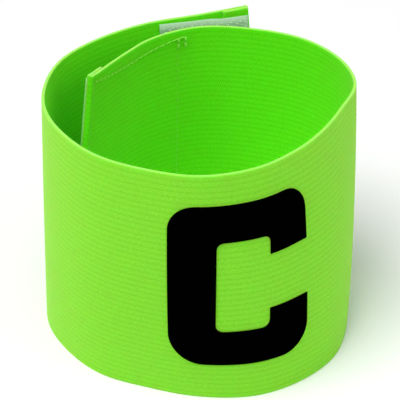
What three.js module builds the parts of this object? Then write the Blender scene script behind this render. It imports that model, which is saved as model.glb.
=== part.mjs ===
// Captain armband: one strip of woven elastic standing on its edge, bent round into a loop. Its two
// ends are hemmed and lapped at the back. The outer end carries hook tape on its inner face, and the
// inner end carries loop tape on its outer face. A block letter is printed on the front.
// Millimetres, +Z up. The band stands on z = 0, and the front faces -Y.

import * as THREE from "three";
import { TessellateModifier } from "three/addons/modifiers/TessellateModifier.js";
import { mergeVertices } from "three/addons/utils/BufferGeometryUtils.js";

// The elastic strip
const BAND_WIDTH = 70;
const BAND_WALL = 1;
const LOOP_RADIUS = 43;
const HEM_LENGTH = 8;

// Each end climbs off the ground by this height, over this last length of the strip
const CLIMB_HEIGHT = 2.4;
const CLIMB_LENGTH = 58;

// The tapes. A width runs along the strip. A margin is what is left above and below the tape.
const HOOK_TAPE_WIDTH = 28;
const HOOK_TAPE_MARGIN = 1.7;
const HOOK_TAPE_WALL = 1.4;
const LOOP_TAPE_WIDTH = 50;
const LOOP_TAPE_MARGIN = 1.2;
const LOOP_TAPE_WALL = 1.2;
const TAPE_INSET = 0.4;
const TAPE_EASE = 5;

// The letter, as a flat print before the strip is bent
const LETTER_WIDTH = 39;
const LETTER_HEIGHT = 49.6;
const LETTER_STEM = 12.4;
const LETTER_BAR = 10.9;
const LETTER_LIP = 5.7;
const LETTER_TOP_ROUND = 7.5;
const LETTER_FOOT_ROUND = 9.5;
const LETTER_NOTCH_ROUND = 2;
const LETTER_WALL = 0.5;

// The letter's middle: degrees round the loop, and how far above the middle of the strip's width
const LETTER_TURN = 285;
const LETTER_RISE = 1.4;

// Between two pieces that are sewn or printed on each other
const CLEARANCE = 0.25;

// How finely the cloth is divided
const STRIP_STEP = 3.4;
const STRIP_ROWS = 4;
const LETTER_STEP = 5;
const EASE_STEPS = 4;
const ROUND_SEGMENTS = 3;
const LENGTH_SAMPLES = 1200;
const SPLIT_ROUNDS = 12;
const MERGE_DISTANCE = 0.001;
const SAME_STATION = 0.01;

// The folded end of a hem, as shares of the wall: where its round nose is cut into flats, how blunt
// its tip is, and half the length of the step down at the end of the hem
const FOLD_FLATS = [0, 0.3, 1];
const FOLD_BLUNTNESS = 0.9;
const HEM_STEP = 0.1;

// The course of the strip, seen from above, from the free outer end round to the free inner end.
// turn: degrees round the loop, counter-clockwise from +X. foot and rim: distance of the lower and
// the upper edge from the middle, as shares of the loop's radius. lead: degrees by which the lower
// edge runs ahead of the upper one, where the cloth isn't upright. belly: how far the cloth swells
// outwards half way up, also as a share of the radius.
const COURSE = [
  { turn: 75.3, foot: 1.265, rim: 1.265, lead: -6.5, belly: 0 },
  { turn: 90, foot: 1.14, rim: 1.13, lead: -4.5, belly: 0 },
  { turn: 110, foot: 1.095, rim: 1.09, lead: -2, belly: 0 },
  { turn: 130, foot: 1.055, rim: 1.06, lead: 0, belly: 0 },
  { turn: 150, foot: 1.035, rim: 1.045, lead: 0, belly: 0 },
  { turn: 170, foot: 1.03, rim: 1.01, lead: 0, belly: 0 },
  { turn: 190, foot: 1.02, rim: 0.995, lead: 0, belly: 0.005 },
  { turn: 210, foot: 0.995, rim: 0.98, lead: 0, belly: 0.015 },
  { turn: 230, foot: 0.99, rim: 0.99, lead: 0, belly: 0.025 },
  { turn: 250, foot: 0.965, rim: 0.99, lead: 0, belly: 0.035 },
  { turn: 270, foot: 1.005, rim: 1.015, lead: 0, belly: 0.035 },
  { turn: 290, foot: 1.055, rim: 0.975, lead: -1, belly: 0.04 },
  { turn: 310, foot: 1.055, rim: 0.905, lead: -3, belly: 0.035 },
  { turn: 330, foot: 1.04, rim: 0.875, lead: -4, belly: 0.04 },
  { turn: 350, foot: 0.995, rim: 0.905, lead: -4, belly: 0.04 },
  { turn: 370, foot: 0.985, rim: 1.015, lead: -3, belly: 0.02 },
  { turn: 390, foot: 1.025, rim: 1.06, lead: -2, belly: 0.02 },
  { turn: 410, foot: 1.03, rim: 1.07, lead: -1, belly: 0.01 },
  { turn: 430, foot: 1.005, rim: 1.03, lead: 0, belly: 0 },
  { turn: 450, foot: 0.99, rim: 0.995, lead: 1, belly: 0 },
  { turn: 470, foot: 0.9, rim: 0.88, lead: 3, belly: 0 },
  { turn: 492, foot: 0.805, rim: 0.745, lead: 7.5, belly: 0 },
  { turn: 525, foot: 0.86, rim: 0.725, lead: 12, belly: 0 },
];

// A point on the ground, at a number of degrees round the loop.
function around(turn, share) {
  const angle = THREE.MathUtils.degToRad(turn);
  const reach = share * LOOP_RADIUS;
  return new THREE.Vector3(reach * Math.cos(angle), reach * Math.sin(angle), 0);
}

// The lower edge of one row of the course, on the ground.
function footPoint(row) {
  return around(row.turn + row.lead, row.foot);
}

// The upper edge of one row. The cloth keeps its width, so an edge that leans out comes down.
function rimPoint(row) {
  const rim = around(row.turn, row.rim);
  const lean = rim.distanceTo(footPoint(row));
  rim.z = Math.sqrt(BAND_WIDTH ** 2 - lean ** 2);
  return rim;
}

const footLine = new THREE.CatmullRomCurve3(COURSE.map(footPoint), false, "catmullrom");
const rimLine = new THREE.CatmullRomCurve3(COURSE.map(rimPoint), false, "catmullrom");
const bellyPoints = COURSE.map((row) => new THREE.Vector3(row.belly * LOOP_RADIUS, 0, 0));
const bellyLine = new THREE.CatmullRomCurve3(bellyPoints, false, "catmullrom");

// The middle line's length up to each of many even steps of the course.
function measureCourse() {
  const lengths = [0];
  const last = footLine.getPoint(0).add(rimLine.getPoint(0)).multiplyScalar(0.5);
  for (let sample = 1; sample <= LENGTH_SAMPLES; sample += 1) {
    const u = sample / LENGTH_SAMPLES;
    const next = footLine.getPoint(u).add(rimLine.getPoint(u)).multiplyScalar(0.5);
    lengths.push(lengths[sample - 1] + next.distanceTo(last));
    last.copy(next);
  }
  return lengths;
}

const courseLengths = measureCourse();
const STRIP_LENGTH = courseLengths[LENGTH_SAMPLES];

// Where along the course, from 0 to 1, the strip has run a given length.
function courseAt(along) {
  const wanted = THREE.MathUtils.clamp(along, 0, STRIP_LENGTH);
  const after = Math.max(1, courseLengths.findIndex((length) => length >= wanted));
  const before = courseLengths[after - 1];
  const part = (wanted - before) / (courseLengths[after] - before);
  return (after - 1 + part) / LENGTH_SAMPLES;
}

// How far along the strip a number of degrees round the loop lies.
function lengthAtTurn(turn) {
  const next = COURSE.findIndex((row) => row.turn >= turn);
  const part = (turn - COURSE[next - 1].turn) / (COURSE[next].turn - COURSE[next - 1].turn);
  const sample = ((next - 1 + part) / (COURSE.length - 1)) * LENGTH_SAMPLES;
  return courseLengths[Math.round(sample)];
}

// How high the strip's lower edge is above the ground.
function climb(along) {
  const fromEnd = Math.min(along, STRIP_LENGTH - along);
  const share = Math.max(0, 1 - fromEnd / CLIMB_LENGTH);
  return CLIMB_HEIGHT * share ** 2;
}

// A point of the bent strip: along it, up it, and out from the middle of its wall.
function onStrip(along, up, out) {
  const u = courseAt(along);
  const rise = up / BAND_WIDTH;
  const place = footLine.getPoint(u).lerp(rimLine.getPoint(u), rise);
  const way = footLine.getTangent(u).lerp(rimLine.getTangent(u), rise);
  const outward = new THREE.Vector3(way.y, -way.x, 0).normalize();
  const swell = bellyLine.getPoint(u).x * (1 - (2 * rise - 1) ** 2);
  place.z += climb(along);
  return place.addScaledVector(outward, out + swell);
}

// Numbers from one value to another in even steps no longer than the longest allowed.
function spread(from, to, longest) {
  const steps = Math.max(1, Math.ceil((to - from) / longest));
  return Array.from({ length: steps + 1 }, (_, step) => from + ((to - from) * step) / steps);
}

// Numbers in rising order, each once.
function inOrder(values) {
  const sorted = [...values].sort((a, b) => a - b);
  return sorted.filter((value, index) => index === 0 || value - sorted[index - 1] > SAME_STATION);
}

// A closed wall of cloth between two heights. faces gives its inner and outer face at each station.
function clothWall(stations, low, high, faces) {
  const corners = [];
  for (const along of stations) {
    const { inner, outer } = faces(along);
    for (let row = 0; row <= STRIP_ROWS; row += 1) {
      const up = THREE.MathUtils.lerp(low, high, row / STRIP_ROWS);
      corners.push(onStrip(along, up, inner), onStrip(along, up, outer));
    }
  }
  const corner = (station, row, side) => (station * (STRIP_ROWS + 1) + row) * 2 + side;
  const triangles = [];
  const quad = (a, b, c, d) => triangles.push(a, b, c, a, c, d);
  for (let s = 0; s < stations.length - 1; s += 1) {
    for (let r = 0; r < STRIP_ROWS; r += 1) {
      quad(corner(s, r, 1), corner(s + 1, r, 1), corner(s + 1, r + 1, 1), corner(s, r + 1, 1));
      quad(corner(s, r, 0), corner(s, r + 1, 0), corner(s + 1, r + 1, 0), corner(s + 1, r, 0));
    }
    quad(corner(s, 0, 0), corner(s + 1, 0, 0), corner(s + 1, 0, 1), corner(s, 0, 1));
    const top = STRIP_ROWS;
    quad(corner(s, top, 0), corner(s, top, 1), corner(s + 1, top, 1), corner(s + 1, top, 0));
  }
  const end = stations.length - 1;
  for (let r = 0; r < STRIP_ROWS; r += 1) {
    quad(corner(0, r, 0), corner(0, r, 1), corner(0, r + 1, 1), corner(0, r + 1, 0));
    quad(corner(end, r, 0), corner(end, r + 1, 0), corner(end, r + 1, 1), corner(end, r, 1));
  }
  const geometry = new THREE.BufferGeometry().setFromPoints(corners);
  geometry.setIndex(triangles);
  geometry.computeVertexNormals();
  return geometry;
}

// The elastic doubles its wall where an end is folded back, and the fold itself is round.
function bandFaces(along) {
  const half = BAND_WALL / 2;
  const fromEnd = Math.min(along, STRIP_LENGTH - along);
  const folded = fromEnd < HEM_LENGTH ? BAND_WALL : 0;
  const outerEnd = along < STRIP_LENGTH / 2;
  const inner = outerEnd ? -half - folded : -half;
  const outer = outerEnd ? half : half + folded;
  const depth = THREE.MathUtils.clamp(1 - fromEnd / BAND_WALL, 0, FOLD_BLUNTNESS);
  const fullness = Math.sqrt(1 - depth ** 2);
  const middle = (inner + outer) / 2;
  return {
    inner: middle + (inner - middle) * fullness,
    outer: middle + (outer - middle) * fullness,
  };
}

function elasticBand() {
  const fold = FOLD_FLATS.map((share) => share * BAND_WALL);
  const step = HEM_STEP * BAND_WALL;
  const start = [...fold, HEM_LENGTH - step, HEM_LENGTH + step];
  const finish = start.map((distance) => STRIP_LENGTH - distance);
  const hems = spread(BAND_WALL, HEM_LENGTH - step, STRIP_STEP);
  const hemsBack = hems.map((distance) => STRIP_LENGTH - distance);
  const body = spread(HEM_LENGTH + step, STRIP_LENGTH - HEM_LENGTH - step, STRIP_STEP);
  const stations = inOrder([...start, ...finish, ...hems, ...hemsBack, ...body]);
  return clothWall(stations, 0, BAND_WIDTH, bandFaces);
}

// How far the back of a tape lies from the middle of the elastic's wall. It is sewn over the hem and
// settles on the single cloth beyond it.
function tapeBack(fromEnd) {
  const settled = THREE.MathUtils.smoothstep(fromEnd, HEM_LENGTH + CLEARANCE, HEM_LENGTH + TAPE_EASE);
  return BAND_WALL / 2 + CLEARANCE + BAND_WALL * (1 - settled);
}

function tapeStations(width) {
  const eased = spread(HEM_LENGTH, HEM_LENGTH + TAPE_EASE, TAPE_EASE / EASE_STEPS);
  const inside = eased.filter((distance) => distance < TAPE_INSET + width);
  return inOrder([...spread(TAPE_INSET, TAPE_INSET + width, STRIP_STEP), ...inside]);
}

function hookTape() {
  const faces = (along) => {
    const back = tapeBack(along);
    return { inner: -back - HOOK_TAPE_WALL, outer: -back };
  };
  const top = BAND_WIDTH - HOOK_TAPE_MARGIN;
  return clothWall(tapeStations(HOOK_TAPE_WIDTH), HOOK_TAPE_MARGIN, top, faces);
}

function loopTape() {
  const faces = (along) => {
    const back = tapeBack(STRIP_LENGTH - along);
    return { inner: back, outer: back + LOOP_TAPE_WALL };
  };
  const stations = tapeStations(LOOP_TAPE_WIDTH).map((distance) => STRIP_LENGTH - distance);
  const top = BAND_WIDTH - LOOP_TAPE_MARGIN;
  return clothWall(stations.reverse(), LOOP_TAPE_MARGIN, top, faces);
}

// Draws straight lines between square corners and rounds each corner by its own radius, which is
// never more than half of either side that meets there.
function roundedOutline(corners) {
  const shape = new THREE.Shape();
  corners.forEach((corner, index) => {
    const here = new THREE.Vector2(corner.x, corner.y);
    const before = corners[(index + corners.length - 1) % corners.length];
    const after = corners[(index + 1) % corners.length];
    const back = new THREE.Vector2(before.x, before.y).sub(here);
    const on = new THREE.Vector2(after.x, after.y).sub(here);
    const round = Math.min(corner.round, back.length() / 2, on.length() / 2);
    back.setLength(round);
    on.setLength(round);
    const enter = here.clone().add(back);
    if (index === 0) {
      shape.moveTo(enter.x, enter.y);
    } else {
      shape.lineTo(enter.x, enter.y);
    }
    if (round > 0) {
      const centre = enter.clone().add(on);
      const from = back.clone().sub(centre).add(here).angle();
      const to = on.clone().sub(centre).add(here).angle();
      shape.absarc(centre.x, centre.y, round, from, to, back.cross(on) > 0);
    }
  });
  shape.closePath();
  return shape;
}

// A plain block letter C, drawn about its middle: a stem, two bars, and a lip on each bar's end.
function letterOutline() {
  const side = LETTER_WIDTH / 2;
  const top = LETTER_HEIGHT / 2;
  const stem = LETTER_STEM - side;
  const bar = top - LETTER_BAR;
  const lip = bar - LETTER_LIP;
  const high = LETTER_TOP_ROUND;
  const low = LETTER_FOOT_ROUND;
  const notch = LETTER_NOTCH_ROUND;
  return roundedOutline([
    { x: side, y: top, round: high },
    { x: -side, y: top, round: high },
    { x: -side, y: -top, round: low },
    { x: side, y: -top, round: low },
    { x: side, y: -lip, round: 0 },
    { x: -stem, y: -lip, round: 0 },
    { x: -stem, y: -bar, round: notch },
    { x: stem, y: -bar, round: notch },
    { x: stem, y: bar, round: notch },
    { x: -stem, y: bar, round: notch },
    { x: -stem, y: lip, round: 0 },
    { x: side, y: lip, round: 0 },
  ]);
}

function frontLetter() {
  const flat = new THREE.ExtrudeGeometry(letterOutline(), {
    depth: LETTER_WALL,
    bevelEnabled: false,
    curveSegments: ROUND_SEGMENTS,
  });
  const divided = new TessellateModifier(LETTER_STEP, SPLIT_ROUNDS).modify(flat);
  const position = divided.getAttribute("position");
  const middle = lengthAtTurn(LETTER_TURN);
  const back = BAND_WALL / 2 + CLEARANCE;
  for (let index = 0; index < position.count; index += 1) {
    const along = middle + position.getX(index);
    const up = BAND_WIDTH / 2 + LETTER_RISE + position.getY(index);
    const placed = onStrip(along, up, back + position.getZ(index));
    position.setXYZ(index, placed.x, placed.y, placed.z);
  }
  divided.deleteAttribute("normal");
  divided.deleteAttribute("uv");
  const letter = mergeVertices(divided, MERGE_DISTANCE);
  letter.computeVertexNormals();
  return letter;
}

// One named piece with its own cloth.
function piece(name, geometry, color, roughness) {
  const material = new THREE.MeshStandardMaterial({ color, roughness, metalness: 0 });
  material.name = name;
  const mesh = new THREE.Mesh(geometry, material);
  mesh.name = name;
  return mesh;
}

const armband = new THREE.Group();
armband.add(
  piece("elastic_band", elasticBand(), 0x7ce43a, 0.85),
  piece("hook_tape", hookTape(), 0xa3d2a6, 0.7),
  piece("loop_tape", loopTape(), 0x8fdc86, 0.95),
  piece("front_letter", frontLetter(), 0x060607, 0.9),
);

// The origin is under the middle of the whole band.
const box = new THREE.Box3().setFromObject(armband);
const middle = box.getCenter(new THREE.Vector3());
armband.position.set(-middle.x, -middle.y, 0);

export default armband;
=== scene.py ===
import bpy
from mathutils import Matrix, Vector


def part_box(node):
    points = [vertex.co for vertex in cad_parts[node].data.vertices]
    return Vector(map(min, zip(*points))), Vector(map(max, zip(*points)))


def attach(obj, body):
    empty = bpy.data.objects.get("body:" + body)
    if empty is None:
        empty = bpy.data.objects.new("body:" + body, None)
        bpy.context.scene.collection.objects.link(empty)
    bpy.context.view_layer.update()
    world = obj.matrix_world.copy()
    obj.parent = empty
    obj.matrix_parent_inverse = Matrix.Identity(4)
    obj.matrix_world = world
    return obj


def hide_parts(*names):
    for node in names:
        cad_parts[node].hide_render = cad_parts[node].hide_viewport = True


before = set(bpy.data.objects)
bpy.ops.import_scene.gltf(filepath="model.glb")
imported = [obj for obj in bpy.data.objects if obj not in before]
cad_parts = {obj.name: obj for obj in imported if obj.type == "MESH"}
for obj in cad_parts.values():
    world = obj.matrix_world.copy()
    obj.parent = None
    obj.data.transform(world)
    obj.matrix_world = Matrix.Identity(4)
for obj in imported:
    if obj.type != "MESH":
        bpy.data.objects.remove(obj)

"""The looks of a captain armband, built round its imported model.

A strip of woven elastic stands on its edge, bent round into a loop whose ends are hemmed and lapped at
the back. Hook tape is sewn inside the outer end and loop tape outside the inner end, and a flocked block
letter is on the front. Everything is in metres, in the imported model's own frame.
"""

import logging
import math
from dataclasses import dataclass
from enum import Enum
from functools import cached_property

import bpy
import numpy as np
from bpy.types import Material, Node, NodeSocket, NodeTree, Object
from mathutils import Vector
from mathutils.geometry import delaunay_2d_cdt

MM = 0.001
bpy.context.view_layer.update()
CLOTH_UV = "cloth"
BODY = "root"
# The bend of the sRGB curve, the slope below it, and the offset and power above it.
SRGB_BEND, SRGB_SLOPE, SRGB_OFFSET, SRGB_POWER = 0.04045, 12.92, 0.055, 2.4
# The sockets of a colour mix node: its share, its two colours and the mixed colour.
MIX_SHARE, MIX_FROM, MIX_TO, MIX_COLOUR = 0, 6, 7, 2

log = logging.getLogger("armband")


def linear(hex_colour: str) -> tuple[float, float, float, float]:
    """Turns an sRGB hex colour into the linear colour that a shader takes.

    Args:
        hex_colour: six hex digits, with or without a leading hash.

    Returns:
        Red, green, blue and an alpha of 1.
    """
    digits = hex_colour.lstrip("#")
    channels = (int(digits[i : i + 2], 16) / 255 for i in (0, 2, 4))
    red, green, blue = (
        c / SRGB_SLOPE if c <= SRGB_BEND else ((c + SRGB_OFFSET) / (1 + SRGB_OFFSET)) ** SRGB_POWER
        for c in channels
    )
    return red, green, blue, 1.0


def add_node(
    tree: NodeTree,
    kind: str,
    settings: dict[str, object] | None = None,
    inputs: dict[str | int, object] | None = None,
) -> Node:
    """Adds a shader node with its settings, and fills or links its inputs.

    Args:
        tree: the node tree to add to.
        kind: the node's type name.
        settings: values of the node's own properties.
        inputs: for each input's name or number, a socket to link from or a value to set.

    Returns:
        The new node.
    """
    node = tree.nodes.new(kind)
    for name, value in (settings or {}).items():
        setattr(node, name, value)
    for key, value in (inputs or {}).items():
        if isinstance(value, NodeSocket):
            tree.links.new(value, node.inputs[key])
        else:
            node.inputs[key].default_value = value
    return node


def reckon(tree: NodeTree, operation: str, *values: object, clamp: bool = False) -> NodeSocket:
    """Adds a math node with a socket or a number for each input, and gives its result's socket."""
    settings = {"operation": operation, "use_clamp": clamp}
    return add_node(tree, "ShaderNodeMath", settings, dict(enumerate(values))).outputs[0]


def blend(tree: NodeTree, share: NodeSocket, start: object, end: str) -> NodeSocket:
    """Adds a mix of two colours.

    Args:
        tree: the node tree to add to.
        share: how much of the way to the second colour it is.
        start: the first colour, as a socket or in hex.
        end: the second colour, in hex.

    Returns:
        The socket with the mixed colour.
    """
    first = start if isinstance(start, NodeSocket) else linear(start)
    colours = {MIX_SHARE: share, MIX_FROM: first, MIX_TO: linear(end)}
    return add_node(tree, "ShaderNodeMix", {"data_type": "RGBA"}, colours).outputs[MIX_COLOUR]


def unit(ways: np.ndarray) -> np.ndarray:
    """The same directions, each with length 1."""
    return ways / np.linalg.norm(ways, axis=-1, keepdims=True)


class Face(Enum):
    """Which face of the strip something lies on, as the sign of its way out of the loop."""

    OUTER = 1
    INNER = -1


@dataclass(frozen=True)
class CourseRow:
    """One row of the strip's course, seen from above.

    turn is in degrees round the loop, counter-clockwise from +X. foot and rim are the distances of the
    lower and the upper edge from the middle, as shares of the loop's radius. lead is by how many
    degrees the lower edge runs ahead, where the cloth isn't upright. belly is how far the cloth swells
    outwards half way up, also as a share of the radius.
    """

    turn: float
    foot: float
    rim: float
    lead: float = 0.0
    belly: float = 0.0


@dataclass(frozen=True)
class Strip:
    """The strip of elastic as it is bent, which every piece of the armband follows.

    A place on it is given as on the flat cloth: along it from the free outer end, up it from its lower
    edge, and out from the middle of its wall, all in metres. Towards each end it climbs off the ground
    by climb_height, over climb_length. samples is how finely its length is measured, and box_steps and
    box_heights how finely its box is.
    """

    width: float = 70 * MM
    wall: float = 1 * MM
    radius: float = 43 * MM
    climb_height: float = 2.4 * MM
    climb_length: float = 58 * MM
    samples: int = 1200
    box_steps: int = 240
    box_heights: int = 5
    origin: tuple[float, float] = (0.0, 0.0)
    course: tuple[CourseRow, ...] = (
        CourseRow(turn=75.3, foot=1.265, rim=1.265, lead=-6.5),
        CourseRow(turn=90, foot=1.14, rim=1.13, lead=-4.5),
        CourseRow(turn=110, foot=1.095, rim=1.09, lead=-2),
        CourseRow(turn=130, foot=1.055, rim=1.06),
        CourseRow(turn=150, foot=1.035, rim=1.045),
        CourseRow(turn=170, foot=1.03, rim=1.01),
        CourseRow(turn=190, foot=1.02, rim=0.995, belly=0.005),
        CourseRow(turn=210, foot=0.995, rim=0.98, belly=0.015),
        CourseRow(turn=230, foot=0.99, rim=0.99, belly=0.025),
        CourseRow(turn=250, foot=0.965, rim=0.99, belly=0.035),
        CourseRow(turn=270, foot=1.005, rim=1.015, belly=0.035),
        CourseRow(turn=290, foot=1.055, rim=0.975, lead=-1, belly=0.04),
        CourseRow(turn=310, foot=1.055, rim=0.905, lead=-3, belly=0.035),
        CourseRow(turn=330, foot=1.04, rim=0.875, lead=-4, belly=0.04),
        CourseRow(turn=350, foot=0.995, rim=0.905, lead=-4, belly=0.04),
        CourseRow(turn=370, foot=0.985, rim=1.015, lead=-3, belly=0.02),
        CourseRow(turn=390, foot=1.025, rim=1.06, lead=-2, belly=0.02),
        CourseRow(turn=410, foot=1.03, rim=1.07, lead=-1, belly=0.01),
        CourseRow(turn=430, foot=1.005, rim=1.03),
        CourseRow(turn=450, foot=0.99, rim=0.995, lead=1),
        CourseRow(turn=470, foot=0.9, rim=0.88, lead=3),
        CourseRow(turn=492, foot=0.805, rim=0.745, lead=7.5),
        CourseRow(turn=525, foot=0.86, rim=0.725, lead=12),
    )

    @staticmethod
    def _around(turns: np.ndarray, reach: np.ndarray) -> np.ndarray:
        """Points on the ground at these degrees round the loop and distances from its middle."""
        angle = np.radians(turns)
        return np.stack([reach * np.cos(angle), reach * np.sin(angle), 0 * angle], axis=-1)

    def _column(self, name: str) -> np.ndarray:
        """One column of the course."""
        return np.array([getattr(row, name) for row in self.course], float)

    @cached_property
    def foot_knots(self) -> np.ndarray:
        """The lower edge's point in each row, on the ground."""
        turns = self._column("turn") + self._column("lead")
        return self._around(turns, self._column("foot") * self.radius)

    @cached_property
    def rim_knots(self) -> np.ndarray:
        """The upper edge's point in each row.

        Returns:
            The points. The cloth keeps its width, so an edge that leans comes down.
        """
        rim = self._around(self._column("turn"), self._column("rim") * self.radius)
        lean = np.linalg.norm(rim - self.foot_knots, axis=1)
        rim[:, 2] = np.sqrt(self.width**2 - lean**2)
        return rim

    @staticmethod
    def _smooth_line(knots: np.ndarray, place: np.ndarray) -> tuple[np.ndarray, np.ndarray]:
        """Follows a smooth curve through the knots.

        Args:
            knots: the points that the curve passes through.
            place: where on the curve, counted in knots.

        Returns:
            The points there, and the directions in which the curve runs.
        """
        ends = np.vstack([2 * knots[0] - knots[1], knots, 2 * knots[-1] - knots[-2]])
        span = np.clip(np.floor(place).astype(int), 0, len(knots) - 2)
        t = (place - span)[..., None]
        before, first, second, after = (ends[span + step] for step in range(4))
        slope_in, slope_out = (second - before) / 2, (after - first) / 2
        cubic = 2 * (first - second) + slope_in + slope_out
        square = 3 * (second - first) - 2 * slope_in - slope_out
        points = ((cubic * t + square) * t + slope_in) * t + first
        return points, (3 * cubic * t + 2 * square) * t + slope_in

    @cached_property
    def _places(self) -> np.ndarray:
        """Even steps of the course, counted in rows."""
        return np.linspace(0, len(self.course) - 1, self.samples + 1)

    @cached_property
    def _lengths(self) -> np.ndarray:
        """Measures the strip along its middle line.

        Returns:
            The length up to each even step of the course.
        """
        foot, _ = self._smooth_line(self.foot_knots, self._places)
        rim, _ = self._smooth_line(self.rim_knots, self._places)
        steps = np.linalg.norm(np.diff((foot + rim) / 2, axis=0), axis=1)
        return np.concatenate([[0], np.cumsum(steps)])

    @property
    def length(self) -> float:
        """The strip's length from end to end, without what is folded back."""
        return float(self._lengths[-1])

    def at_turn(self, turn: float) -> float:
        """How far along the strip a number of degrees round the loop lies."""
        row = np.interp(turn, self._column("turn"), np.arange(len(self.course)))
        return float(np.interp(row, self._places, self._lengths))

    def bend(self, flat: np.ndarray) -> np.ndarray:
        """Takes places on the flat cloth to where they are on the bent strip.

        Args:
            flat: an array whose last axis holds along, up and out.

        Returns:
            An array of the same shape, whose last axis holds X, Y and Z.
        """
        along, up, out = flat[..., 0], flat[..., 1], flat[..., 2]
        place = np.interp(along, self._lengths, self._places)
        foot, foot_way = self._smooth_line(self.foot_knots, place)
        rim, rim_way = self._smooth_line(self.rim_knots, place)
        rise = (up / self.width)[..., None]
        points = foot + (rim - foot) * rise
        way = unit(foot_way) * (1 - rise) + unit(rim_way) * rise
        outward = unit(np.stack([way[..., 1], -way[..., 0], 0 * along], axis=-1))
        belly, _ = self._smooth_line(self._column("belly")[:, None] * self.radius, place)
        swell = belly * (1 - (2 * rise - 1) ** 2)
        points = points + outward * (out[..., None] + swell)
        from_end = np.minimum(along, self.length - along)
        climb = self.climb_height * np.clip(1 - from_end / self.climb_length, 0, None) ** 2
        points[..., 2] += climb
        points[..., :2] += self.origin
        return points

    @classmethod
    def in_frame(cls, node: str) -> "Strip":
        """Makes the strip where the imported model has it.

        Args:
            node: the node whose box the strip's own box is set on.

        Returns:
            The strip, with its origin worked out from that box.
        """
        loose = cls()
        along = np.linspace(0, loose.length, loose.box_steps)
        heights = np.linspace(0, loose.width, loose.box_heights)
        corners = [(a, up, out) for a in along for up in heights
                   for out in (-loose.wall / 2, loose.wall / 2)]
        points = loose.bend(np.array(corners))
        low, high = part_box(node)
        shift = [(low[i] + high[i] - points[:, i].min() - points[:, i].max()) / 2 for i in (0, 1)]
        return cls(origin=tuple(shift))


class Builder:
    """Turns points and faces into dressed pieces that ride on the armband."""

    @staticmethod
    def piece(
        name: str,
        points: np.ndarray,
        faces: list[tuple[int, ...]] | np.ndarray,
        material: Material,
        cloth: np.ndarray | None = None,
    ) -> Object:
        """Makes one smooth-shaded mesh with its faces pointing out.

        Args:
            name: the piece's name.
            points: its vertices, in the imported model's frame.
            faces: the vertex numbers of each face.
            material: its only material.
            cloth: where each vertex lies on the flat cloth, as along and up, for the weave.

        Returns:
            The new object, which already rides on the armband.
        """
        mesh = bpy.data.meshes.new(name)
        mesh.from_pydata(points.tolist(), [], [tuple(map(int, f)) for f in faces])
        if cloth is not None:
            uv = mesh.uv_layers.new(name=CLOTH_UV)
            corners = np.zeros(len(mesh.loops), int)
            mesh.loops.foreach_get("vertex_index", corners)
            uv.data.foreach_set("uv", cloth[corners].astype(np.float32).ravel())
        mesh.shade_smooth()
        mesh.materials.append(material)
        mesh.validate()
        piece = bpy.data.objects.new(name, mesh)
        bpy.context.scene.collection.objects.link(piece)
        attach(piece, BODY)
        log.info("%s: %d faces", name, len(mesh.polygons))
        return piece

    @staticmethod
    def tube(
        path: np.ndarray, across: np.ndarray, lift: np.ndarray, radius: float, sides: int
    ) -> tuple[np.ndarray, np.ndarray]:
        """Lays rings of points round a path, and caps both ends.

        Args:
            path: the middle points, in order.
            across: the unit direction to one side, for each point or for all.
            lift: the unit direction square to that and to the path, likewise.
            radius: the tube's radius.
            sides: how many sides the tube has.

        Returns:
            The vertices, with one more at each end, and the faces as rows of 4 vertex numbers, where
            a cap's triangles repeat their last number.
        """
        angle = 2 * math.pi * np.arange(sides)[:, None] / sides
        aside, above = (np.broadcast_to(way, path.shape)[:, None] for way in (across, lift))
        rings = path[:, None] + (aside * np.cos(angle) + above * np.sin(angle)) * radius
        count = len(path)
        points = np.vstack([rings.reshape(-1, 3), path[:1], path[-1:]])
        starts = sides * np.arange(count)[:, None]
        here, there = starts + np.arange(sides), starts + (np.arange(sides) + 1) % sides
        walls = np.stack([here[:-1], there[:-1], there[1:], here[1:]], axis=-1).reshape(-1, 4)
        tip = np.full(sides, count * sides)
        start = np.stack([there[0], here[0], tip, tip], axis=1)
        finish = np.stack([here[-1], there[-1], tip + 1, tip + 1], axis=1)
        return points, np.vstack([walls, start, finish])

    @staticmethod
    def wire(path: np.ndarray, radius: float, sides: int) -> tuple[np.ndarray, np.ndarray]:
        """Makes a tube along a path that has no part in Y."""
        across = np.array([0.0, 1.0, 0.0])
        return Builder.tube(path, across, np.cross(unit(np.gradient(path, axis=0)), across), radius, sides)

    @staticmethod
    def copies(
        points: np.ndarray, faces: np.ndarray, placed: np.ndarray
    ) -> tuple[np.ndarray, list[tuple[int, ...]]]:
        """Joins many copies of one small shape.

        Args:
            points: the vertices of the shape, which only give their number.
            faces: its faces, as rows of 4 vertex numbers.
            placed: the vertices of every copy, as an array of copies, vertices and 3 numbers.

        Returns:
            The joined vertices and the joined faces, with triangles where a number was repeated.
        """
        starts = np.arange(len(placed))[:, None, None] * len(points)
        rows = (faces[None] + starts).reshape(-1, 4)
        joined = [tuple(r[:3]) if r[2] == r[3] else tuple(r) for r in rows.tolist()]
        return placed.reshape(-1, 3), joined


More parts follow.
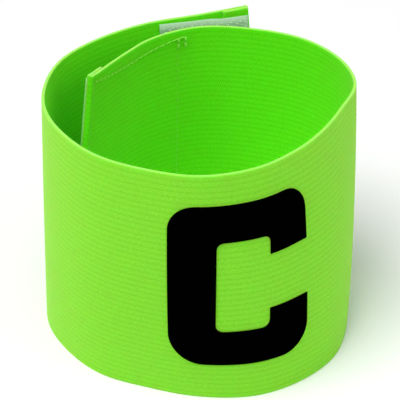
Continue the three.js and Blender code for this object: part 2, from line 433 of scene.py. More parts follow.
@dataclass(frozen=True, kw_only=True)
class Textile:
    """What every finish shares: a pattern that gives both the colour and a slight relief."""

    name: str
    roughness: float
    shine: float
    relief: float

    def pattern(self, tree: NodeTree) -> tuple[NodeSocket, NodeSocket]:
        """Adds the pattern, whose height and colour each kind of textile gives in its own way."""
        raise NotImplementedError

    def depth(self) -> dict[str, object]:
        """What else the surface has, such as light that goes through it."""
        return {}

    def material(self) -> Material:
        """Makes this textile's material.

        Returns:
            The material.
        """
        made = bpy.data.materials.new(self.name)
        made.use_nodes = True
        tree = made.node_tree
        tree.nodes.clear()
        height, dye = self.pattern(tree)
        bump = add_node(tree, "ShaderNodeBump", None,
                        {"Strength": 1.0, "Distance": self.relief, "Height": height})
        looks = {"Base Color": dye, "Roughness": self.roughness, "Specular IOR Level": self.shine,
                 "Normal": bump.outputs[0]}
        surface = add_node(tree, "ShaderNodeBsdfPrincipled", None, looks | self.depth())
        add_node(tree, "ShaderNodeOutputMaterial", None, {"Surface": surface.outputs[0]})
        return made


@dataclass(frozen=True, kw_only=True)
class WovenElastic(Textile):
    """Elastic of textured polyester yarn woven round rubber strands, dyed fluorescent green.

    It has next to no shine of its own: the yarn's loops give soft ribs along the strip, with fine
    columns of picks across them, and a thin fuzz that pales the cloth where it is seen edge on. The
    selvages are paler: partly a paler yarn, and on the upper rim a painted highlight where it faces the
    light. Some light goes through the cloth, above all the green, over the distances of glow_reach in
    millimetres. rib_share and the other shares say how much of the way from valley to crest each wave
    of the weave takes the colour.

    Real picks are about 0.35 mm apart and the yarn's flecks finer, which is little more than a pixel
    of the render, so both are drawn as coarse as they need to show.
    """

    crest: str
    valley: str
    sheen: float
    width: float
    rib_pitch: float
    # Paler green at both long edges: partly a paler yarn, partly a painted highlight on the lit upper rim.
    selvage: str = "#9eee60"
    selvage_width: float = 0.5 * MM
    roughness: float = 0.9
    shine: float = 0.1
    fuzz: str = "#d8ffb0"
    fuzz_spread: float = 0.4
    glow: float = 1.0
    glow_reach: tuple[float, float, float] = (0.12, 1.3, 0.03)
    pick_pitch: float = 0.62 * MM
    fleck_length: float = 0.8 * MM
    fleck_height: float = 0.35 * MM
    fleck_detail: float = 2.0
    fleck_fray: float = 0.6
    rib_share: float = 0.14
    strand_share: float = 0.08
    pick_share: float = 0.22
    fleck_share: float = 1.1
    relief: float = 0.025 * MM

    def waves(self, tree: NodeTree) -> dict[str, NodeSocket]:
        """Adds the weave's waves over the flat cloth.

        Args:
            tree: the node tree to add to.

        Returns:
            rib and strand, the wave across the ribs and its double, pick, the columns of picks, which
            shift by half from strand to strand, each from -1 to 1, fleck, the yarn's unevenness, and
            selvage, which is 1 at the cloth's two long edges and 0 past their width.
        """
        cloth = add_node(tree, "ShaderNodeUVMap", {"uv_map": CLOTH_UV})
        split = add_node(tree, "ShaderNodeSeparateXYZ", None, {0: cloth.outputs[0]})
        rib = reckon(tree, "MULTIPLY", split.outputs["Y"], 2 * math.pi / self.rib_pitch)
        strand = reckon(tree, "MULTIPLY", rib, 2.0)
        row = reckon(tree, "FLOOR", reckon(tree, "MULTIPLY", split.outputs["Y"], 2 / self.rib_pitch))
        pick = reckon(tree, "MULTIPLY", split.outputs["X"], 2 * math.pi / self.pick_pitch)
        shifted = reckon(tree, "MULTIPLY_ADD", row, math.pi, pick)
        stretch = (1 / self.fleck_length, 1 / self.fleck_height, 1.0)
        place = add_node(tree, "ShaderNodeMapping", None, {"Vector": cloth.outputs[0], "Scale": stretch})
        fleck = add_node(tree, "ShaderNodeTexNoise", {"noise_dimensions": "2D"},
                         {"Vector": place.outputs[0], "Scale": 1.0, "Detail": self.fleck_detail,
                          "Roughness": self.fleck_fray})
        # The pale band at both long edges, which paints the lit upper rim's highlight as well as a paler
        # yarn.
        from_middle = reckon(tree, "ABSOLUTE", reckon(tree, "SUBTRACT", split.outputs["Y"], self.width / 2))
        past = reckon(tree, "SUBTRACT", from_middle, self.width / 2 - self.selvage_width)
        selvage = reckon(tree, "MULTIPLY", past, 1 / self.selvage_width, clamp=True)
        return {"rib": reckon(tree, "COSINE", rib), "strand": reckon(tree, "COSINE", strand),
                "pick": reckon(tree, "SINE", shifted), "fleck": fleck.outputs["Fac"], "selvage": selvage}

    def pattern(self, tree: NodeTree) -> tuple[NodeSocket, NodeSocket]:
        """Adds the weave, which follows the flat cloth.

        Args:
            tree: the node tree to add to.

        Returns:
            Its height and its colour.
        """
        weave = self.waves(tree)
        # The rib wave darkens the colour in the grooves that the band's geometry sinks at the same pitch:
        # painted shade in the rib grooves.
        ribs = reckon(tree, "MULTIPLY_ADD", weave["rib"], -self.rib_share, 0.5 - self.fleck_share / 2)
        strands = reckon(tree, "MULTIPLY_ADD", weave["strand"], -self.strand_share, ribs)
        picks = reckon(tree, "MULTIPLY_ADD", weave["pick"], self.pick_share, strands)
        shade = reckon(tree, "MULTIPLY_ADD", weave["fleck"], self.fleck_share, picks, clamp=True)
        ground = blend(tree, shade, self.valley, self.crest)
        return shade, blend(tree, weave["selvage"], ground, self.selvage)

    def depth(self) -> dict[str, object]:
        """The light that goes through the cloth, and the fuzz on it.

        Returns:
            The surface's inputs for them.
        """
        return {"Subsurface Weight": self.glow, "Subsurface Radius": self.glow_reach,
                "Subsurface Scale": MM, "Sheen Weight": self.sheen,
                "Sheen Roughness": self.fuzz_spread, "Sheen Tint": linear(self.fuzz)}


@dataclass(frozen=True, kw_only=True)
class Yarn(Textile):
    """A plain finish for thread, tape and pile, with fibre noise that softens its colour."""

    light: str
    dark: str
    grain: float
    fibre_detail: float = 2.0
    fibre_fray: float = 0.55

    def pattern(self, tree: NodeTree) -> tuple[NodeSocket, NodeSocket]:
        """Adds the fibres.

        Args:
            tree: the node tree to add to.

        Returns:
            Their height and their colour.
        """
        place = add_node(tree, "ShaderNodeTexCoord")
        fibre = add_node(tree, "ShaderNodeTexNoise", None,
                         {"Vector": place.outputs["Object"], "Scale": 1 / self.grain,
                          "Detail": self.fibre_detail, "Roughness": self.fibre_fray})
        shade = fibre.outputs["Fac"]
        return shade, blend(tree, shade, self.dark, self.light)


# Spun polyester has many short fibre ends, so its dashes look soft and a little paler than the cloth.
THREAD = Yarn(name="spun_polyester_thread", light="#a2f45e", dark="#84e640",
              roughness=0.8, shine=0.1, grain=0.25 * MM, relief=0.02 * MM)
# The tape's woven nylon is smooth, so it is pale with a weak shine; its green tint is painted bounce
# light from the cloth.
HOOK_GROUND = Yarn(name="woven_nylon_hook_tape", light="#c2dec0", dark="#93bf94",
                   roughness=0.7, shine=0.4, grain=0.5 * MM, relief=0.05 * MM)
# Moulded nylon hooks are nearly clear, so they glint and look paler than their ground: the paleness is a
# painted glint, and the green tint is painted light from the cloth showing through the clear nylon.
HOOK_NYLON = Yarn(name="nylon_hooks", light="#cdeccb", dark="#addcac",
                  roughness=0.45, shine=0.5, grain=0.5 * MM, relief=0.0)
# Knitted nylon is matt and close to the cloth's colour, and shows as a pale line at the tape's edge.
LOOP_GROUND = Yarn(name="knitted_nylon_loop_tape", light="#b4eaa0", dark="#98d884",
                   roughness=0.9, shine=0.3, grain=0.5 * MM, relief=0.05 * MM)
# Brushing opens the loops into a soft pile that takes the shine away.
LOOP_NYLON = Yarn(name="brushed_nylon_loops", light="#bcf0a4", dark="#9ee084",
                  roughness=0.9, shine=0.3, grain=0.4 * MM, relief=0.0)
# Flock stands on end and swallows the light, so it looks black from every side.
FLOCK = Yarn(name="viscose_flock", light="#020202", dark="#000000",
             roughness=1.0, shine=0.0, grain=0.3 * MM, relief=0.03 * MM)


@dataclass(frozen=True)
class Hem:
    """An end of the cloth, folded back and lying on one face of the strip."""

    face: Face
    reach: float = 8 * MM


@dataclass
class ElasticBand:
    """The strip of woven elastic itself, with its ribs, its selvages and a hem folded at each end.

    crease is the room left between the two layers of a hem. pinch is by what share of its thickness the
    seam near each end pulls the cloth in. That fades over pinch_reach, and is drawn for pinch_tail
    times that to each side.
    """

    strip: Strip
    rib_pitch: float = 1.64 * MM
    rib_depth: float = 0.04 * MM
    rows_per_rib: int = 4
    station: float = 2.1 * MM
    crease: float = 0.06 * MM
    selvage_round: float = 0.3 * MM
    selvage_steps: int = 3
    fold_steps: int = 8
    hem_rows: int = 6
    pinch: float = 0.3
    pinch_reach: float = 0.35 * MM
    pinch_from_end: float = 1.6 * MM
    pinch_tail: float = 2
    pinch_rows: int = 9
    outer_end: Hem = Hem(face=Face.INNER)
    inner_end: Hem = Hem(face=Face.OUTER)

    @property
    def ribs(self) -> int:
        """How many whole ribs the width of the strip holds."""
        return round(self.strip.width / self.rib_pitch)

    def section(self) -> np.ndarray:
        """The cut through one half of the cloth's thickness.

        Returns:
            Rows of up and distance from the cloth's middle, from the foot to the top.
        """
        thick = (self.strip.wall - self.crease) / 2
        ribs = self.ribs
        up = np.linspace(0, self.strip.width, ribs * self.rows_per_rib + 1)
        edge = self.selvage_round
        up = up[(up > edge) & (up < self.strip.width - edge)]
        sink = self.rib_depth * (1 + np.cos(2 * math.pi * up * ribs / self.strip.width)) / 2
        face = np.stack([up, thick - sink], axis=1)
        angle = np.linspace(0, math.pi / 2, self.selvage_steps + 1)
        low = np.stack([edge - edge * np.cos(angle), thick - edge + edge * np.sin(angle)], axis=1)
        high = low[::-1].copy()
        high[:, 0] = self.strip.width - high[:, 0]
        return np.vstack([low, face, high])

    def ribbon(self) -> np.ndarray:
        """The cloth's own path from fold to fold and round both hems.

        Returns:
            Rows of along, out, the two parts of the direction of the cloth's outer face, and by what
            share it is pinched thinner there.
        """
        layer, end = self.strip.wall, self.strip.length
        turn = np.linspace(-math.pi / 2, math.pi / 2, self.fold_steps + 1)
        bow = np.stack([np.cos(turn), np.sin(turn)], axis=1) * layer / 2
        tail = np.linspace(-self.pinch_tail, self.pinch_tail, self.pinch_rows)
        seam = self.pinch_from_end + tail * self.pinch_reach
        body = np.linspace(seam[-1], end - seam[-1], round(end / self.station))
        body = np.concatenate([seam[:-1], body, end - seam[-2::-1]])
        from_end = np.minimum(body, end - body)
        pinch = self.pinch * np.exp(-(((from_end - self.pinch_from_end) / self.pinch_reach) ** 2))
        back = np.linspace(self.outer_end.reach, layer, self.hem_rows)
        rows = [(a, -layer, 0.0, -1.0, 0.0) for a in back]
        rows += [(layer / 2 - x, y - layer / 2, -x * 2 / layer, y * 2 / layer, 0.0) for x, y in bow]
        rows += [(a, 0.0, 0.0, 1.0, p) for a, p in zip(body, pinch)]
        rows += [(end - layer / 2 + x, layer / 2 + y, -x * 2 / layer, -y * 2 / layer, 0.0) for x, y in bow]
        rows += [(end - a, layer, 0.0, -1.0, 0.0) for a in back[::-1]]
        return np.array(rows)

    def faces_in(self, folded: np.ndarray, rows: int, around: int) -> np.ndarray:
        """Finds the faces that look into the loop, which a hem turns round.

        Args:
            folded: for each station but the last, whether the cloth is turned back there.
            rows: how many points half a cut has.
            around: how many points a whole cut has.

        Returns:
            True for each face that looks in. The rounded selvages count as looking out.
        """
        column = np.tile(np.arange(around), len(folded))
        edge = self.selvage_steps
        front = (column >= edge) & (column < rows - 1 - edge)
        back = (column >= rows + edge) & (column < around - 1 - edge)
        return np.where(np.repeat(folded, around), front, back)

    def build(self, outside: Material, inside: Material) -> Object:
        """Makes the band.

        Args:
            outside: the material of what faces out of the loop, and of the selvages; its paler colour is
                painted lit paleness.
            inside: the material of what faces into it, a copy of the same cloth whose deeper green is
                painted shade.

        Returns:
            The band's object.
        """
        half = self.section()
        up = np.concatenate([half[:, 0], half[::-1, 0]])
        thick = np.concatenate([half[:, 1], -half[::-1, 1]])
        path = self.ribbon()
        along, out, way_along, way_out, pinch = (path[:, i, None] for i in range(5))
        thick = thick * (1 - pinch)
        flat = np.stack([along + way_along * thick, 0 * along + up, out + way_out * thick], axis=-1)
        stations, around = flat.shape[:2]
        run = np.concatenate([[0], np.cumsum(np.hypot(*np.diff(path[:, :2], axis=0).T))])
        cloth = np.stack(np.broadcast_arrays(run[:, None], up), axis=-1).reshape(-1, 2)
        number = np.arange(stations * around).reshape(stations, around)
        ahead = np.roll(number, -1, axis=1)
        sides = np.stack([number[:-1], ahead[:-1], ahead[1:], number[1:]], axis=-1).reshape(-1, 4)
        rows = len(half)
        low, high = np.arange(rows - 1), 2 * rows - 1 - np.arange(rows - 1)
        start = np.stack([low, high, high - 1, low + 1], axis=1)
        finish = np.stack([low, low + 1, high - 1, high], axis=1) + number[-1, 0]
        faces = np.vstack([sides[:, ::-1], start[:, ::-1], finish[:, ::-1]])
        points = self.strip.bend(flat).reshape(-1, 3)
        band = Builder.piece("woven_band", points, faces, outside, cloth)
        band.data.materials.append(inside)
        # The faces that look into the loop take the copy whose deeper green is painted shade.
        slots = np.zeros(len(band.data.polygons), np.int32)
        slots[: len(sides)] = self.faces_in(path[:-1, 3] < 0, rows, around)
        band.data.polygons.foreach_set("material_index", slots)
        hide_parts("elastic_band")
        cut = self.strip.length + self.outer_end.reach + self.inner_end.reach
        return band


@dataclass(frozen=True)
class Seam:
    """A row of stitches on the flat strip, from one place to another.

    bow is how far its middle strays to the left of the straight way, as hand-guided sewing does.
    """

    start: tuple[float, float]
    end: tuple[float, float]
    face: Face
    out: float
    bow: float = 0.0


@dataclass
class Stitching:
    """Rows of lockstitch in spun polyester thread, each stitch a short bow from hole to hole.

    stitch is the length that is aimed at, gap the bare cloth at a hole, thread the thread's radius and
    sink how much deeper it lies at a hole than half way. The lower fullness is, the flatter it lies
    between its holes.
    """

    strip: Strip
    stitch: float = 2.4 * MM
    gap: float = 0.35 * MM
    thread: float = 0.2 * MM
    sink: float = 0.26 * MM
    fullness: float = 0.5
    sides: int = 6
    steps: int = 6

    def build(self, name: str, seams: list[Seam], material: Material) -> Object:
        """Sews some rows.

        Args:
            name: the piece's name.
            seams: the rows.
            material: the thread's material.

        Returns:
            The stitches, joined into one object.
        """
        share = np.linspace(0, 1, self.steps + 1)
        bow = np.sin(math.pi * share) ** self.fullness
        placed, shape, faces = [], None, None
        for seam in seams:
            start, end = np.array(seam.start), np.array(seam.end)
            total = np.linalg.norm(end - start)
            count = max(1, round(total / self.stitch))
            way = (end - start) / total
            pitch = total / count
            left = np.array([-way[1], way[0]])
            for index in range(count):
                run = index * pitch + self.gap / 2 + share * (pitch - self.gap)
                stray = seam.bow * np.sin(math.pi * run / total)
                lift = self.thread - self.sink + bow * self.sink
                flat = start + way * run[:, None] + left * stray[:, None]
                path = np.column_stack([flat, seam.face.value * (seam.out + lift)])
                across, upward = np.array([*left, 0.0]), np.array([0.0, 0.0, 1.0])
                shape, faces = Builder.tube(path, across, upward, self.thread, self.sides)
                placed.append(shape)
        points, joined = Builder.copies(shape, faces, np.array(placed))
        return Builder.piece(name, self.strip.bend(points), joined, material)


@dataclass(frozen=True)
class Sewing:
    """Where the rows of stitches round a tape run.

    near and far are how far inside the tape's two upright edges they are, and down is how far below the
    strip's edge. bow is how far the long rows stray. eased and sunk are how deep the long rows and the
    tight upright rows are drawn into the cloth. The seam ends in two short bars of backstitches: lock
    is their length, lock_gap their distance, lock_wide how far apart the two rows of a bar are, and
    lock_lift how much they stand up.
    """

    near: float
    far: float
    down: float
    bow: float
    eased: float = 0.1 * MM
    sunk: float = 0.31 * MM
    lock: float = 3.6 * MM
    lock_gap: float = 2.4 * MM
    lock_wide: float = 0.4 * MM
    lock_lift: float = 0.1 * MM


@dataclass
class Tape:
    """What both sewn tapes share: a flat ground that lies on the hem and settles on the cloth.

    margin is the bare cloth above and below it, and inset that at its end of the strip. It settles from
    the hem to the cloth over ease, and rest is the room under it.
    """

    strip: Strip
    hem: Hem
    width: float
    margin: float
    ground: float
    skew: float = 0.0
    inset: float = 0.4 * MM
    ease: float = 5 * MM
    rest: float = 0.03 * MM
    station: float = 1.2 * MM
    rows_up: int = 34
    edge_share: float = 0.3

    @property
    def face(self) -> Face:
        """The face of the strip that the tape is sewn on."""
        return self.hem.face

    @property
    def height(self) -> float:
        """How tall the tape stands on the strip."""
        return self.strip.width - 2 * self.margin

    def from_start(self, from_end: np.ndarray) -> np.ndarray:
        """Turns a distance from the tape's own end of the strip into one along the strip."""
        return from_end if self.face is Face.INNER else self.strip.length - from_end

    def back(self, from_end: np.ndarray) -> np.ndarray:
        """How far the tape's back is from the middle of the elastic.

        Args:
            from_end: distances from the tape's end of the strip.

        Returns:
            The distance at each of them.
        """
        share = np.clip((from_end - self.hem.reach) / self.ease, 0, 1)
        settled = share * share * (3 - 2 * share)
        return self.strip.wall / 2 + self.rest + self.strip.wall * (1 - settled)

    def on(self, from_end: np.ndarray, up: np.ndarray, above: np.ndarray) -> np.ndarray:
        """Finds places on the tape as it is bent.

        A skewed tape climbs by that slope away from its end, as tape that was laid on by hand does.

        Args:
            from_end: distances from the tape's end of the strip.
            up: distances up the strip.
            above: distances above the tape's back.

        Returns:
            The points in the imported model's frame.
        """
        out = self.face.value * (self.back(from_end) + above)
        climb = self.skew * (from_end - self.inset - self.width / 2)
        flat = np.stack(np.broadcast_arrays(self.from_start(from_end), up + climb, out), axis=-1)
        return self.strip.bend(flat)

    def bed(self, border: float, along: float, up: float) -> tuple[np.ndarray, np.ndarray]:
        """The even places inside the tape's selvage, along from its end and up the strip."""
        return (np.arange(self.inset + border, self.inset + self.width - border, along),
                np.arange(self.margin + border, self.strip.width - self.margin - border, up))

    def build_ground(self, name: str, node: str, slot: str, material: Material) -> Object:
        """Makes the tape's flat ground, with edges a little rounded.

        Args:
            name: the piece's name.
            node: the node that it stands for.
            slot: not used.
            material: its material.

        Returns:
            The ground's object.
        """
        along = np.linspace(self.inset, self.inset + self.width, round(self.width / self.station))
        up = np.linspace(self.margin, self.strip.width - self.margin, self.rows_up)
        edge = self.ground * self.edge_share
        top_along = np.clip(along, along[0] + edge, along[-1] - edge)
        top_up = np.clip(up, up[0] + edge, up[-1] - edge)
        low = self.on(along[:, None], up[None], 0.0)
        high = self.on(top_along[:, None], top_up[None], self.ground)
        rows, columns = len(along), len(up)
        number = np.arange(rows * columns).reshape(rows, columns)
        quads = np.stack([number[:-1, :-1], number[1:, :-1], number[1:, 1:], number[:-1, 1:]], axis=-1)
        quads = quads.reshape(-1, 4)
        rim = np.concatenate([number[:, 0], number[-1, 1:], number[-2::-1, -1], number[0, -2:0:-1]])
        after = np.roll(rim, -1)
        side = np.stack([rim, after, after + rows * columns, rim + rows * columns], axis=1)
        faces = np.vstack([quads[:, ::-1], quads + rows * columns, side])
        points = np.vstack([low.reshape(-1, 3), high.reshape(-1, 3)])
        if self.face is Face.INNER:
            faces = faces[:, ::-1]
        tape = Builder.piece(name, points, faces, material)
        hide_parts(node)
        return tape

    def seams(self, sewing: Sewing, out: float, face: Face) -> list[Seam]:
        """The rows that sew the tape on.

        Args:
            sewing: where the rows run.
            out: how far the sewn face is from the middle of the elastic.
            face: the face that the rows are on.

        Returns:
            The four sides of the tape, and two short bars where the thread is locked.
        """
        near = float(self.from_start(self.inset + sewing.near))
        far = float(self.from_start(self.inset + self.width - sewing.far))
        lock = float(self.from_start(self.inset + self.width - sewing.far + sewing.lock_gap))
        low, high = sewing.down, self.strip.width - sewing.down
        bow = sewing.bow if self.face is Face.INNER else -sewing.bow
        flush, deep, proud = out - sewing.eased, out - sewing.sunk, out + sewing.lock_lift
        last = max(far, lock, key=lambda place: abs(place - near))
        rows = [
            Seam((near, low), (near, high), face, deep),
            Seam((near, high), (last, high), face, flush, -bow),
            Seam((far, high), (far, low), face, deep),
            Seam((far, low), (near, low), face, flush, -bow),
        ]
        for place in (far, lock):
            for side in (-sewing.lock_wide / 2, sewing.lock_wide / 2):
                rows.append(Seam((place + side, high), (place + side, high - sewing.lock), face, proud))
        return rows


HOOK_SEWING = Sewing(near=1.2 * MM, far=1.4 * MM, down=3.0 * MM, bow=0.4 * MM, lock_gap=-2.4 * MM)
LOOP_SEWING = Sewing(near=1.2 * MM, far=5.6 * MM, down=2.3 * MM, bow=2.0 * MM)


@dataclass
class HookTape(Tape):
    """The hook half of the fastening: a woven nylon ground set with rows of small nylon hooks.

    A hook's head bends round by hook_turn degrees at a radius of hook_bow of its height. Every other
    row is shifted by jog of the pitch, and border is the tape's own selvage without hooks.
    """

    pitch_along: float = 1.5 * MM
    pitch_up: float = 1.1 * MM
    hook_height: float = 0.95 * MM
    hook_wire: float = 0.11 * MM
    hook_turn: float = 215
    hook_bow: float = 0.3
    hook_steps: int = 6
    hook_sides: int = 5
    jog: float = 0.5
    border: float = 1.1 * MM

    def build_hooks(self, slot: str, material: Material) -> Object:
        """Sets the hooks in rows, every other one turned the other way.

        Args:
            slot: not used.
            material: their material.

        Returns:
            The hooks, joined into one object.
        """
        turn = np.linspace(0, math.radians(self.hook_turn), self.hook_steps)
        bow = self.hook_bow * self.hook_height
        stem = np.array([[0.0, 0.0], [0.0, self.hook_height - bow]])
        arc = np.stack([bow - bow * np.cos(turn), self.hook_height - bow + bow * np.sin(turn)], axis=1)
        line = np.vstack([stem, arc[1:]])
        path = np.stack([line[:, 0], 0 * line[:, 0], line[:, 1]], axis=1)
        shape, faces = Builder.wire(path, self.hook_wire, self.hook_sides)
        along, up = self.bed(self.border, self.pitch_along, self.pitch_up)
        placed = []
        for row, a in enumerate(along):
            for column, u in enumerate(up):
                way = 1 if (row + column) % 2 else -1
                high = u + self.jog * self.pitch_up * (row % 2)
                placed.append(self.on(a + way * shape[:, 0], high + shape[:, 1], self.ground + shape[:, 2]))
        points, joined = Builder.copies(shape, faces, np.array(placed))
        hooks = Builder.piece("hook_tape_hooks", points, joined, material)
        return hooks


@dataclass
class LoopTape(Tape):
    """The loop half of the fastening: a knitted nylon ground under a pile of soft, ruffled loops.

    A loop reaches half_span of the pitch to each side, leans by up to lean of its height, is at least
    shortest of the pile's height and strays by up to stray of the pitch.
    """

    pitch: float = 1.15 * MM
    pile: float = 0.65 * MM
    fibre: float = 0.09 * MM
    half_span: float = 0.45
    lean: float = 0.5
    shortest: float = 0.7
    stray: float = 0.3
    loop_steps: int = 6
    loop_sides: int = 4
    border: float = 1.6 * MM
    seed: int = 7

    def build_pile(self, slot: str, material: Material) -> Object:
        """Stands the loops on the ground, each turned and leaning its own way.

        Args:
            slot: not used.
            material: their material.

        Returns:
            The pile, joined into one object.
        """
        draw = np.random.default_rng(self.seed)
        turn = np.linspace(0, math.pi, self.loop_steps)
        span = self.half_span * self.pitch
        path = np.stack([span * np.cos(turn), 0 * turn, np.sin(turn)], axis=1)
        shape, faces = Builder.wire(path, self.fibre, self.loop_sides)
        along, up = self.bed(self.border, self.pitch, self.pitch)
        placed = []
        for a in along:
            for u in up:
                spin, lean = draw.uniform(0, math.pi), draw.uniform(-self.lean, self.lean)
                tall = draw.uniform(self.shortest, 1)
                shove = draw.uniform(-self.stray, self.stray, 2) * self.pitch
                x = shape[:, 0] * math.cos(spin) - shape[:, 1] * math.sin(spin)
                y = shape[:, 0] * math.sin(spin) + shape[:, 1] * math.cos(spin)
                high = np.where(shape[:, 2] > 0, shape[:, 2], 0) * self.pile * tall
                y = y + lean * high
                placed.append(self.on(a + shove[0] + x, u + shove[1] + y, self.ground + high))
        points, joined = Builder.copies(shape, faces, np.array(placed))
        pile = Builder.piece("loop_tape_pile", points, joined, material)
        return pile


@dataclass
class FlockLetter:
    """The block letter on the front, cut from flock and pressed on, so it sinks into the ribs a little.

    turn is where its middle is, in degrees round the loop, and rise how far it is above half way up.
    edge is the width of its rounded rim, and grid the pitch of the points that let it bend, which stay
    clear of the outline by that share of the pitch. Points closer than weld count as one.
    """

    strip: Strip
    width: float = 39 * MM
    height: float = 49.6 * MM
    stem: float = 12.4 * MM
    bar: float = 10.9 * MM
    lip: float = 5.7 * MM
    top_corner: float = 7.5 * MM
    foot_corner: float = 9.5 * MM
    notch: float = 2 * MM
    turn: float = 285
    rise: float = 1.4 * MM
    thick: float = 0.45 * MM
    sunk: float = 0.03 * MM
    edge: float = 0.22 * MM
    grid: float = 1.6 * MM
    clear: float = 0.6
    weld: float = 1e-8
    arc_step: float = 0.5 * MM

    def outline(self) -> np.ndarray:
        """Draws the letter about its middle.

        Returns:
            The points of its outline, counter-clockwise, with its corners rounded.
        """
        side, top = self.width / 2, self.height / 2
        stem, bar = self.stem - side, top - self.bar
        lip = bar - self.lip
        corners = [
            (side, top, self.top_corner), (-side, top, self.top_corner),
            (-side, -top, self.foot_corner), (side, -top, self.foot_corner),
            (side, -lip, 0), (-stem, -lip, 0), (-stem, -bar, self.notch), (stem, -bar, self.notch),
            (stem, bar, self.notch), (-stem, bar, self.notch), (-stem, lip, 0), (side, lip, 0),
        ]
        points = []
        for index, (x, y, wanted) in enumerate(corners):
            here = np.array([x, y])
            before = np.array(corners[index - 1][:2]) - here
            after = np.array(corners[(index + 1) % len(corners)][:2]) - here
            reach = min(wanted, np.linalg.norm(before) / 2, np.linalg.norm(after) / 2)
            back, on = before / np.linalg.norm(before), after / np.linalg.norm(after)
            if not reach:
                points.append(here)
                continue
            middle = here + (back + on) * reach
            steps = max(2, round(reach * math.pi / 2 / self.arc_step))
            for angle in np.linspace(0, math.pi / 2, steps + 1):
                points.append(middle - on * reach * math.cos(angle) - back * reach * math.sin(angle))
        return self.even(np.array(points))

    def even(self, points: np.ndarray) -> np.ndarray:
        """Divides an outline's long sides, so that they bend with the cloth.

        Args:
            points: the outline's corners.

        Returns:
            The outline with points no further apart than the grid.
        """
        dense = []
        for here, there in zip(points, np.roll(points, -1, axis=0)):
            steps = max(1, math.ceil(np.linalg.norm(there - here) / self.grid))
            dense += [here + (there - here) * step / steps for step in range(steps)]
        return np.array(dense)

    @staticmethod
    def inset(points: np.ndarray, by: float) -> np.ndarray:
        """Moves an outline inwards.

        Args:
            points: the outline, counter-clockwise.
            by: the distance.

        Returns:
            The moved points.
        """
        ahead = unit(np.roll(points, -1, axis=0) - points)
        behind = unit(points - np.roll(points, 1, axis=0))
        normal_ahead = np.stack([-ahead[:, 1], ahead[:, 0]], axis=1)
        normal_behind = np.stack([-behind[:, 1], behind[:, 0]], axis=1)
        both = normal_ahead + normal_behind
        return points + by * both * 2 / (both * both).sum(axis=1, keepdims=True)

    def build(self, material: Material) -> Object:
        """Makes the letter.

        Args:
            material: the flock's material.

        Returns:
            The letter's object.
        """
        rim = self.outline()
        shoulder = self.inset(rim, self.edge)
        count = len(rim)
        across = np.arange(-self.width / 2, self.width / 2, self.grid)
        upward = np.arange(-self.height / 2, self.height / 2, self.grid)
        filling = [(x, y) for x in across for y in upward if self.covers(rim, x, y)]
        flat = [Vector(p) for p in [*rim, *shoulder, *filling]]
        edges = [(loop + i, loop + (i + 1) % count) for loop in (0, count) for i in range(count)]
        outline, inside_only = [list(range(count))], 1
        found, _, triangles, sources, *_ = delaunay_2d_cdt(flat, edges, outline, inside_only, self.weld)
        points = np.array([tuple(p) for p in found])
        on_rim = np.array([any(s < count for s in source) for source in sources])
        step = np.where(on_rim, self.thick - self.edge, self.thick)
        area = sum(self.size(points[list(f)]) for f in triangles)
        middle = self.strip.at_turn(self.turn)
        place = points + [middle, self.strip.width / 2 + self.rise]
        base = self.strip.wall / 2 - self.sunk
        front = np.column_stack([place, base + step])
        back = np.column_stack([place, np.full(len(place), base)])
        number = {source: i for i, given in enumerate(sources) for source in given}
        faces = [tuple(f) for f in triangles]
        faces += [tuple(i + len(points) for i in reversed(f)) for f in triangles]
        for i in range(count):
            a, b = number[i], number[(i + 1) % count]
            faces.append((b, a, a + len(points), b + len(points)))
        bent = self.strip.bend(np.vstack([front, back]))
        letter = Builder.piece("flock_letter", bent, faces, material)
        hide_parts("front_letter")
        return letter

    @staticmethod
    def size(corners: np.ndarray) -> float:
        """The area of one triangle."""
        (ax, ay), (bx, by) = corners[1] - corners[0], corners[2] - corners[0]
        return float(abs(ax * by - ay * bx) / 2)

    def covers(self, rim: np.ndarray, x: float, y: float) -> bool:
        """Tells whether a place is inside the outline and clear of it.

        Args:
            rim: the outline's points.
            x: the place's distance to the right of the letter's middle.
            y: its distance above it.

        Returns:
            True where a point of the grid can stand.
        """
        if np.min(np.hypot(rim[:, 0] - x, rim[:, 1] - y)) < self.clear * self.grid:
            return False
        x1, y1 = rim[:, 0], rim[:, 1]
        x2, y2 = np.roll(x1, -1), np.roll(y1, -1)
        spans = (y1 > y) != (y2 > y)
        cut = x1[spans] + (y - y1[spans]) * (x2[spans] - x1[spans]) / (y2[spans] - y1[spans])
        return bool(np.sum(cut > x) % 2)


@dataclass(frozen=True)
class Lamp:
    """A square soft lamp that faces the armband, with its side in metres and its power in watts."""

    name: str
    place: tuple[float, float, float]
    side: float
    power: float

    def hang(self) -> Object:
        """Hangs the lamp in its place.

        Returns:
            The lamp's object.
        """
        data = bpy.data.lights.new(self.name, "AREA")
        data.shape = "SQUARE"
        data.size = self.side
        data.energy = self.power
        lamp = bpy.data.objects.new(self.name, data)
        bpy.context.scene.collection.objects.link(lamp)
        lamp.location = self.place
        lamp.rotation_euler = (-Vector(self.place)).to_track_quat("-Z", "Y").to_euler()
        return lamp


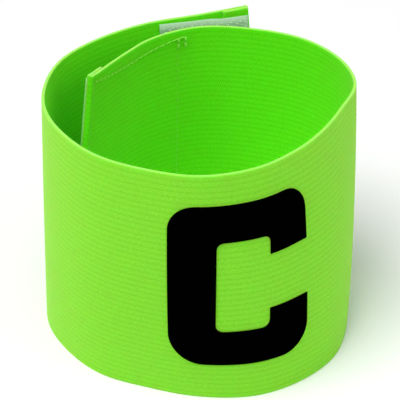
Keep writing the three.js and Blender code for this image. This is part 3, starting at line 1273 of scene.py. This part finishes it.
@dataclass
class Studio:
    """The plain pale floor, the soft light and the camera.

    drop is how far below the photograph's middle the aim point shows, as a share of photo_side. The
    lamps are a large one above and to the left, and a weak one to the right.
    """

    strip: Strip
    elevation: float = 31
    distance: float = 600 * MM
    lens: float = 191
    sensor: float = 36
    drop: float = 5
    photo_side: float = 400
    floor_side: float = 5.0
    floor_colour: str = "#fdfdfd"
    sky_colour: str = "#ffffff"
    sky_strength: float = 0.3
    lamps: tuple[Lamp, ...] = (
        Lamp("key_softbox", place=(-0.37, -0.4, 1.28), side=1.0, power=18),
        Lamp("fill_softbox", place=(1.0, -0.4, 0.8), side=0.8, power=2.8),
    )

    def camera(self) -> Object:
        """Puts the camera at the photograph's angle, aimed at the middle of the loop.

        Returns:
            The camera's object.
        """
        data = bpy.data.cameras.new("camera")
        data.lens = self.lens
        data.sensor_width = self.sensor
        data.shift_y = self.drop / self.photo_side
        data.dof.use_dof = False
        eye = bpy.data.objects.new("camera", data)
        bpy.context.scene.collection.objects.link(eye)
        aim = Vector((*self.strip.origin, self.strip.width / 2))
        slope = math.radians(self.elevation)
        back = Vector((0, -math.cos(slope), math.sin(slope)))
        eye.location = aim + back * self.distance
        eye.rotation_euler = (-back).to_track_quat("-Z", "Y").to_euler()
        bpy.context.scene.camera = eye
        return eye

    def floor(self) -> Object:
        """Lays a wide sheet of white matt card, which shows no edge.

        Returns:
            The floor's object.
        """
        half = self.floor_side / 2
        mesh = bpy.data.meshes.new("floor")
        corners = [(-half, -half, 0), (half, -half, 0), (half, half, 0), (-half, half, 0)]
        mesh.from_pydata(corners, [], [(0, 1, 2, 3)])
        card = bpy.data.materials.new("white_matt_card")
        card.use_nodes = True
        surface = card.node_tree.nodes["Principled BSDF"]
        looks = {"Base Color": linear(self.floor_colour), "Roughness": 1.0, "Specular IOR Level": 0.0}
        for name, value in looks.items():
            surface.inputs[name].default_value = value
        mesh.materials.append(card)
        floor = bpy.data.objects.new("floor", mesh)
        bpy.context.scene.collection.objects.link(floor)
        return floor

    def light(self) -> None:
        """Sets a white sky and hangs the lamps."""
        world = bpy.data.worlds.new("studio")
        world.use_nodes = True
        sky = world.node_tree.nodes["Background"]
        sky.inputs["Color"].default_value = linear(self.sky_colour)
        sky.inputs["Strength"].default_value = self.sky_strength
        bpy.context.scene.world = world
        for lamp in self.lamps:
            lamp.hang()

    def build(self) -> None:
        """Sets up the whole studio and plain display colours."""
        self.camera()
        self.floor()
        self.light()
        bpy.context.scene.view_settings.view_transform = "Standard"
        bpy.context.scene.view_settings.look = "None"


def main() -> None:
    """Builds the armband piece by piece, and then the studio round it."""
    logging.basicConfig(level=logging.INFO, format="%(name)s: %(message)s")
    strip = Strip.in_frame("elastic_band")
    log.info("strip of %.1f mm, origin %.3f %.3f mm", strip.length / MM, *(o / MM for o in strip.origin))
    band = ElasticBand(strip)
    weave = {"width": strip.width, "rib_pitch": strip.width / band.ribs}
    # Outside, more fuzz pales the green. Both faces are one cloth in two copies whose colours paint light:
    # the outside's paler green is painted lit paleness, and the inside's deeper, more saturated green is
    # painted shade from the green light bounced inside the loop.
    outside = WovenElastic(name="polyester_elastic_outside_painted_light", crest="#96e341", valley="#77d121",
                           sheen=0.25, **weave)
    inside = WovenElastic(name="polyester_elastic_inside_painted_shade", crest="#7ef21f", valley="#5fe20c",
                          sheen=0.12, **weave)
    band.build(outside.material(), inside.material())

    thread = THREAD.material()
    stitching = Stitching(strip)
    surface = strip.wall / 2
    hook = HookTape(strip, band.outer_end, width=28 * MM, margin=1.7 * MM, ground=0.45 * MM, skew=0.045)
    hook_ground = hook.build_ground("hook_tape_ground", "hook_tape", "hook_tape", HOOK_GROUND.material())
    hooks = hook.build_hooks("hook_tape", HOOK_NYLON.material())
    stitching.build("hook_tape_stitches", hook.seams(HOOK_SEWING, surface, Face.OUTER), thread)

    loop = LoopTape(strip, band.inner_end, width=50 * MM, margin=1.2 * MM, ground=0.4 * MM)
    loop_ground = loop.build_ground("loop_tape_ground", "loop_tape", "loop_tape", LOOP_GROUND.material())
    pile = loop.build_pile("loop_tape", LOOP_NYLON.material())
    stitching.build("loop_tape_stitches", loop.seams(LOOP_SEWING, surface, Face.INNER), thread)

    FlockLetter(strip).build(FLOCK.material())
    Studio(strip).build()


if __name__ == "__main__":
    main()
